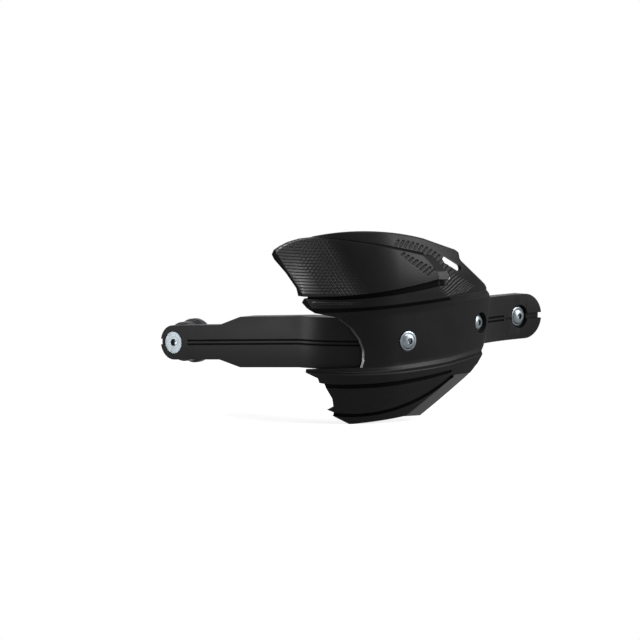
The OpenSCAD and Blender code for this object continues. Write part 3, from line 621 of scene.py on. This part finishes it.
def groove_list():
    """Place of the middle, lean in degrees, length and width of each groove."""
    found = []
    for k, place in enumerate(curve_through(*COMB_THROUGH, COMB_COUNT)):
        found.append((place, COMB_LEAN - COMB_TURN * k / (COMB_COUNT - 1), COMB_LEN, COMB_W))
    for k in range(SECOND_COUNT):
        f = k / (SECOND_COUNT - 1)
        found.append((np.array([35 + 20.2 * f, 61.6 - 13.4 * f]), SECOND_LEAN, 3.4 + 4.1 * f, SECOND_W))
    for k in range(2 * SLANTS_BETWEEN + 1):
        part = min(k // SLANTS_BETWEEN, 1)
        f = k / SLANTS_BETWEEN - part
        start, end = ((1 - f) * np.array(SLANTS[part][i]) + f * np.array(SLANTS[part + 1][i]) for i in (0, 1))
        run, climb = end - start
        lean = math.degrees(math.atan2(climb, run))
        found.append(((start + end) / 2, lean, math.hypot(run, climb), SLANT_W))
    return found


GROOVES = groove_list()


def grooves(w, z):
    """Depth of the grooves at each place. Slanting ones fade out along their length and bend a
    little both ways."""
    depth = 0 * w
    for place, lean, length, width in GROOVES:
        c, s = math.cos(math.radians(lean)), math.sin(math.radians(lean))
        along = (w - place[0]) * c + (z - place[1]) * s
        slanting = width == SLANT_W
        bend = 0.5 * np.sin(2 * math.pi * np.clip(along / length, -0.5, 0.5)) if slanting else 0
        across = np.abs((z - place[1]) * c - (w - place[0]) * s - bend)
        fade = length / 4 if slanting else 0.7
        cut = (1 - step(np.abs(along), length / 2 - fade, length / 2)) * (
            1 - step(across, width / 2 - 0.3, width / 2 + 0.3))
        depth = np.maximum(depth, cut * (0.7 if slanting else 1))
    return RIB_DEPTH * depth


FACET_W, FACET_DEPTH, FACET_TOP = 7.5, 2, -25


def lower_facet(w, z):
    """Depth of the bevelled strip along the lower blade's inner edge, which runs from the end of
    the first line to the end of the second."""
    (w0, z0), (w1, z1) = LINES[0][-1], LINES[1][-1]
    run, climb = w1 - w0, z1 - z0
    inside = ((z - z0) * run - (w - w0) * climb) / math.hypot(run, climb)
    return FACET_DEPTH * np.clip(1 - inside / FACET_W, 0, 1) * (z < FACET_TOP)


def solid_point(w, z, out):
    """Places in metres of widths and heights at offsets from the bar's face."""
    plan = plan_place(w, out)
    return np.column_stack([plan, MID_Z + z]) * MM


def grid_rows(bm, count):
    """Rows of vertices of a new grid, with one vertex for each place along a line."""
    found = [[None] * (COLUMNS + 1) for _ in range(count)]
    for v in bmesh.ops.create_grid(bm, x_segments=COLUMNS, y_segments=count - 1, size=1)["verts"]:
        found[round((v.co.y + 1) / 2 * (count - 1))][round((v.co.x + 1) / 2 * COLUMNS)] = v
    return found


# The shield's plastics, two of them painted shade and painted highlight, and how far along the lines the
# mouth's edge and the ramp, which get the painted highlight, reach
PLAIN, EMBOSSED, PAINTED_SHADE, PAINTED_HIGHLIGHT = range(4)
MOUTH_TO, RAMP_TO = 0.5, ARC_STEPS + TAIL_RAMP


def paint(bm, rows, skin):
    """Gives each outer face its plastic: painted shade on the slot floors and on the strips under the upper
    wing's edge and above the scale's edge, and painted highlight on the mouth's edge, the ramp and the lower
    facet.
    """
    for row in range(len(rows) - 1):
        i, f, wz, kind_a, kind_b = rows[row]
        above_scale = LINES[i - 1][0] == SCALE and kind_a == WING and f < 0.2
        # Painted shade: the slot floors and the strips where the wing's and the scale's edges would cast
        # shade
        shade_painted = kind_a == kind_b == SLOT or i == UPPER_LINE or above_scale
        mouth = BAND in (kind_a, kind_b)
        ramp = kind_a == kind_b == SCALE and i < RAMP_LINE
        facet = lower_facet(wz[:, 0], wz[:, 1]) > 0.2
        for column in range(COLUMNS):
            place = PLACES[column]
            # Painted highlight: the mouth's edge, the ramp and the lower facet
            highlight_painted = facet[column] or mouth and place < MOUTH_TO or ramp and ARC_STEPS < place < RAMP_TO
            if shade_painted or highlight_painted or i >= UPPER_LINE:
                face = bm.faces.get([skin[row][column], skin[row][column + 1],
                                     skin[row + 1][column + 1], skin[row + 1][column]])
                face.material_index = (PAINTED_SHADE if shade_painted and place < ARC_STEPS else
                                       PAINTED_HIGHLIGHT if highlight_painted else
                                       EMBOSSED if i >= UPPER_LINE else PLAIN)


def line_inside(bm, rows, skin):
    """Draws the inside, one row at each line, and joins it to the outside round the rim."""
    kept = [k for k, row in enumerate(rows) if row[1] in (0, 1)]
    lining = grid_rows(bm, len(kept))
    for line, k in zip(lining, kept):
        w, z = rows[k][2].T
        kind = rows[k][4] if rows[k][1] == 1 else rows[k][3]
        for v, spot in zip(line, solid_point(w, z, inner_offset(z, kind))):
            v.co = spot
    for a, b in ((skin[0], lining[0]), (skin[-1], lining[-1])):
        for column in range(COLUMNS):
            bm.faces.new((a[column], a[column + 1], b[column + 1], b[column]))
    for column in (0, COLUMNS):
        for n in range(len(kept) - 1):
            between = [skin[k][column] for k in range(kept[n], kept[n + 1] + 1)]
            bm.faces.new(between + [lining[n + 1][column], lining[n][column]])
    bmesh.ops.recalc_face_normals(bm, faces=bm.faces)


VENT_T, VENT_Z, VENT_LEAN, VENT_REACH, VENT_R = 239, 61, -28, 7, 2.5


def cut_vent(bm):
    """Round-ended slot through the upper wing."""
    vent = seat_frame(VENT_T, VENT_Z) @ Matrix.Rotation(math.radians(VENT_LEAN), 4, "Z")
    ends = [(VENT_REACH * s + VENT_R * math.cos(a), VENT_R * math.sin(a))
            for s, first in ((1, -90), (-1, 90))
            for a in (math.radians(first + 15 * k) for k in range(13))]
    rim = open_outline(bm, cut_outline(bm, bm.faces, vent, ends, -14, 14))
    bmesh.ops.bridge_loops(bm, edges=rim)


def cut_recess(bm, t, z, seat_d, seat_h, back_d, back_h):
    """Round recess for a screw's head, with a soft edge, its hole, and the boss behind it."""
    place = seat_frame(t, z)
    rim = open_outline(bm, cut_outline(bm, bm.faces, place, circle_outline(seat_d + 0.8), 2, 12))
    rim = ring_in(bm, rim, place, (seat_d + 0.25) / (seat_d + 0.8), drop=0.08)
    rim = ring_in(bm, rim, place, seat_d / (seat_d + 0.25), drop=0.32)
    rim = ring_in(bm, rim, place, 1, height=seat_h)
    ring_in(bm, rim, place, (SHANK + 0.5) / seat_d, height=seat_h)
    rim = open_outline(bm, cut_outline(bm, bm.faces, place, circle_outline(back_d), -6, 1.9))
    rim = ring_in(bm, rim, place, 1, height=back_h)
    ring_in(bm, rim, place, (SHANK + 0.5) / back_d, height=back_h)
    bmesh.ops.bridge_loops(bm, edges=[e for e in bm.edges if e.is_boundary])


def wind_shield():
    rows = shield_rows()
    bm = bmesh.new()
    skin = grid_rows(bm, len(rows))
    low_edge, high_edge = rows[0][2], rows[-1][2]
    for line, row in zip(skin, rows):
        w, z = row[2].T
        for v, spot in zip(line, solid_point(w, z, outer_offset(*row, low_edge, high_edge))):
            v.co = spot
            v.co.x = max(v.co.x, cad_box[0][0])
            v.co.z = min(v.co.z, cad_box[1][2])
    paint(bm, rows, skin)
    line_inside(bm, rows, skin)
    cut_vent(bm)
    cut_recess(bm, OUTER_SCREW_T, OUTER_SCREW_Z, FLANGE_D + 0.5, OUTER_SEAT, 16, -0.5)
    cut_recess(bm, INNER_SCREW_T, INNER_SCREW_Z, FLANGE_D + 1, INNER_SEAT, 19, -3.6)
    bmesh.ops.recalc_face_normals(bm, faces=bm.faces)
    obj = piece("shield_moulding", bm, shield_nylon, "wind_shield", sharp=40)
    for extra in (embossed_nylon, painted_shade_nylon, painted_highlight_nylon):
        obj.data.materials.append(extra)


# Fasteners

def thread(bm, place, d, pitch, low, high):
    """Screw thread: a tooth profile spun once, climbing one pitch."""
    root, steps = d / 2 - 0.61 * pitch, 32
    profile = []
    for i in range(int((high - low) / pitch)):
        z = low + i * pitch
        profile += [(root, z), (d / 2 - 0.02, z + 0.44 * pitch), (d / 2 - 0.02, z + 0.56 * pitch)]
    verts = [bm.verts.new(place @ Vector((r, 0, h))) for r, h in profile]
    edges = [bm.edges.new((a, b)) for a, b in zip(verts, verts[1:])]
    axis = (place.to_3x3() @ Vector((0, 0, 1))).normalized()
    bmesh.ops.spin(bm, geom=verts + edges, cent=place.translation, axis=axis, angle=2 * math.pi,
                   steps=steps, dvec=axis * (pitch * MM / steps))


def socket(bm, place, af, top, depth):
    """Hexagon socket cut down from the top of a head."""
    r = af / 2 / math.cos(math.pi / 6)
    outline = [(r * math.cos(math.radians(60 * k)), r * math.sin(math.radians(60 * k))) for k in range(6)]
    rim = open_outline(bm, cut_outline(bm, bm.faces, place, outline, top - 0.9, top + 0.3))
    rim = ring_in(bm, rim, place, 0.97, drop=0.12)
    rim = ring_in(bm, rim, place, 1, height=top - depth)
    rim = ring_in(bm, rim, place, 0.5, height=top - depth - 0.5)
    ring_in(bm, rim, place, 0.02, height=top - depth - 0.6)


def button_screw(name, node, t, z, seat, length):
    """Flanged button screw that stands in the bar's face, with its flange at a seat's height."""
    place = seat_frame(t, z)
    bm = bmesh.new()
    r, e = FLANGE_D / 2, 5.6
    head = [(0, seat + 3.3), (1.5, seat + 3.3), (2.9, seat + 3.24), (3.9, seat + 2.95), (4.8, seat + 2.35),
            (5.35, seat + 1.75), (e, seat + 1.3), (e + 0.12, seat + 1.17), (r - 0.35, seat + 1.12),
            (r - 0.1, seat + 1.0), (r, seat + 0.75), (r, seat + 0.2), (r - 0.15, seat),
            (SHANK / 2, seat), (SHANK / 2 - 0.3, seat - 0.4), (SHANK / 2 - 0.35, seat - length + 1),
            (SHANK / 2 - 0.8, seat - length), (0, seat - length)]
    spun(bm, head, place, steps=96, closed=False)
    socket(bm, place, 4, seat + 3.3, 2)
    thread(bm, place, SHANK, 1, seat - length + 0.8, seat - 1.2)
    piece(name, bm, zinc_plate, node, sharp=32)


def countersunk_screw():
    """Long screw through the outer end, with its head flush with the bar's face."""
    place = seat_frame(0, 0)
    bm = bmesh.new()
    head = [(0, 0), (5.5, 0), (7.75, -0.02), (7.95, -0.15), (8, -0.4), (7.9, -0.55), (4.1, -4.35),
            (3.6, -5), (3.5, -73.5), (2.9, -75), (0, -75)]
    spun(bm, head, place, steps=96, closed=False)
    socket(bm, place, 5, 0, 3)
    thread(bm, place, END_SHANK, 1.25, -74, -6)
    piece("bar_end_screw_threaded", bm, zinc_plate, "bar_end_screw", sharp=32)


def turned_ring(name, node, outline):
    """Anodised ring on the axis of the outer end."""
    bm = bmesh.new()
    spun(bm, outline, seat_frame(0, 0), steps=128)
    piece(name, bm, black_anodised, node, sharp=40)


guard_bar()
wind_shield()
button_screw("outer_shield_screw", "shield_screw_outer", OUTER_SCREW_T, OUTER_SCREW_Z, OUTER_SEAT, 20)
button_screw("inner_shield_screw", "shield_screw_inner", INNER_SCREW_T, INNER_SCREW_Z, INNER_SEAT, 16)
button_screw("inner_bracket_screw", "inner_end_screw", END_SCREW_T, INNER_Z, END_SEAT, 35)
countersunk_screw()
turned_ring("end_spacer", "bar_end_spacer",
            [(4.25, -10.3), (4.55, -10), (13.9, -10), (14.2, -10.3), (14.2, -19.7), (13.9, -20),
             (4.55, -20), (4.25, -19.7)])
turned_ring("end_weight", "bar_end_weight",
            [(4.25, -20.3), (4.55, -20), (15, -20), (15.3, -20.12), (15.88, -20.7), (16, -21),
             (16, -25), (15.88, -25.3), (15.3, -25.88), (15, -26), (4.55, -26), (4.25, -25.7)])

finishes = {"bar_plastic": bar_nylon, "shield_plastic": shield_nylon, "zinc_screws": zinc_plate,
            "plain_steel": bright_steel, "black_metal": black_anodised}
for part in frame["record"]["subparts"]:
    for slot in nodes[part["node"]].material_slots:
        slot.material = finishes[part["material_slot"]]


# Camera, floor and light

AZIMUTH, ELEVATION, DISTANCE = math.radians(49), math.radians(5), 2.5
FOCAL_PX, WIDE_PX, SENSOR = 3472.2, 640, 36
FLOOR_Z, FLOOR_R = -0.048, 20
towards = Vector((-math.sin(AZIMUTH) * math.cos(ELEVATION), -math.cos(AZIMUTH) * math.cos(ELEVATION),
                  math.sin(ELEVATION)))
target = Vector((44.361, -78.789, 16.138)) * MM
camera_data = bpy.data.cameras.new("camera")
camera_data.lens = FOCAL_PX * SENSOR / WIDE_PX
camera_data.sensor_width = SENSOR
camera = bpy.data.objects.new("camera", camera_data)
camera.location = target + DISTANCE * towards
camera.rotation_euler = towards.to_track_quat("Z", "Y").to_euler()
bpy.context.collection.objects.link(camera)
bpy.context.scene.camera = camera


def seeing_rays(tree):
    """One for the rays of the camera and for what is mirrored or seen through glass, else nought."""
    rays = add(tree, "ShaderNodeLightPath").outputs
    seen = add(tree, "ShaderNodeMath", {0: rays["Is Camera Ray"], 1: rays["Is Glossy Ray"]},
               operation="MAXIMUM")
    return add(tree, "ShaderNodeMath", {0: seen.outputs[0], 1: rays["Is Transmission Ray"]},
               operation="MAXIMUM").outputs[0]


def camera_white(tree, shader_socket, near, far):
    """Shows plain white to the camera, and to what mirrors it, over a shader: a share of it near
    the object, where the shadow lies, and nothing else farther off."""
    coords = add(tree, "ShaderNodeTexCoord")
    distance = add(tree, "ShaderNodeVectorMath", {0: coords.outputs["Object"]}, operation="LENGTH")
    share = add(tree, "ShaderNodeMapRange",
                {0: distance.outputs["Value"], 1: 0.2, 2: 0.6, 3: near, 4: far})
    part = add(tree, "ShaderNodeMath", {0: seeing_rays(tree), 1: share.outputs[0]}, operation="MULTIPLY")
    white = add(tree, "ShaderNodeEmission", {"Color": (1, 1, 1, 1), "Strength": 1.0})
    return add(tree, "ShaderNodeMixShader", {0: part.outputs[0], 1: shader_socket, 2: white.outputs[0]})


floor_bm = bmesh.new()
bmesh.ops.create_grid(floor_bm, x_segments=1, y_segments=1, size=FLOOR_R)
bmesh.ops.translate(floor_bm, verts=floor_bm.verts, vec=(0, 0, FLOOR_Z))
floor_mesh = bpy.data.meshes.new("floor")
floor_bm.to_mesh(floor_mesh)
floor_bm.free()
floor = bpy.data.objects.new("floor", floor_mesh)
bpy.context.collection.objects.link(floor)
paper = bpy.data.materials.new("white_paper")
paper.use_nodes = True
paper_tree = paper.node_tree
paper_shader = next(n for n in paper_tree.nodes if n.type == "BSDF_PRINCIPLED")
paper_shader.inputs["Base Color"].default_value = linear("#e4e4e4")
paper_shader.inputs["Roughness"].default_value = 0.9
paper_out = next(n for n in paper_tree.nodes if n.type == "OUTPUT_MATERIAL")
mixed = camera_white(paper_tree, paper_shader.outputs[0], 0.8, 1.0)
paper_tree.links.new(mixed.outputs[0], paper_out.inputs["Surface"])
floor_mesh.materials.append(paper)

world = bpy.data.worlds.new("studio")
bpy.context.scene.world = world
world.use_nodes = True
world_tree = world.node_tree
world_tree.nodes.clear()
dim = add(world_tree, "ShaderNodeBackground", {"Color": (1, 1, 1, 1), "Strength": 0.45})
lit = add(world_tree, "ShaderNodeBackground", {"Color": (1, 1, 1, 1), "Strength": 1.0})
choose = add(world_tree, "ShaderNodeMixShader",
             {0: seeing_rays(world_tree), 1: dim.outputs[0], 2: lit.outputs[0]})
add(world_tree, "ShaderNodeOutputWorld", {"Surface": choose.outputs[0]})


def lamp(name, place, size, power):
    """Soft rectangular lamp that faces the middle of the picture."""
    data = bpy.data.lights.new(name, "AREA")
    data.shape = "RECTANGLE"
    data.size, data.size_y = size
    data.energy = power
    obj = bpy.data.objects.new(name, data)
    obj.location = place
    obj.rotation_euler = (Vector(place) - target).to_track_quat("Z", "Y").to_euler()
    bpy.context.collection.objects.link(obj)


lamp("top", (0.1, -0.5, 1.6), (1.2, 0.9), 36)
lamp("left", (-1.2, 0.51, 0.19), (0.45, 0.3), 9)
lamp("bend", (-1.06, 0.49, 0.01), (0.3, 0.14), 8)
lamp("right", (0.6, -1.2, 0.66), (0.55, 0.9), 43)
lamp("back", (0.3, 1.4, 1.0), (1.2, 0.8), 12)

bpy.context.scene.view_settings.view_transform = "Standard"
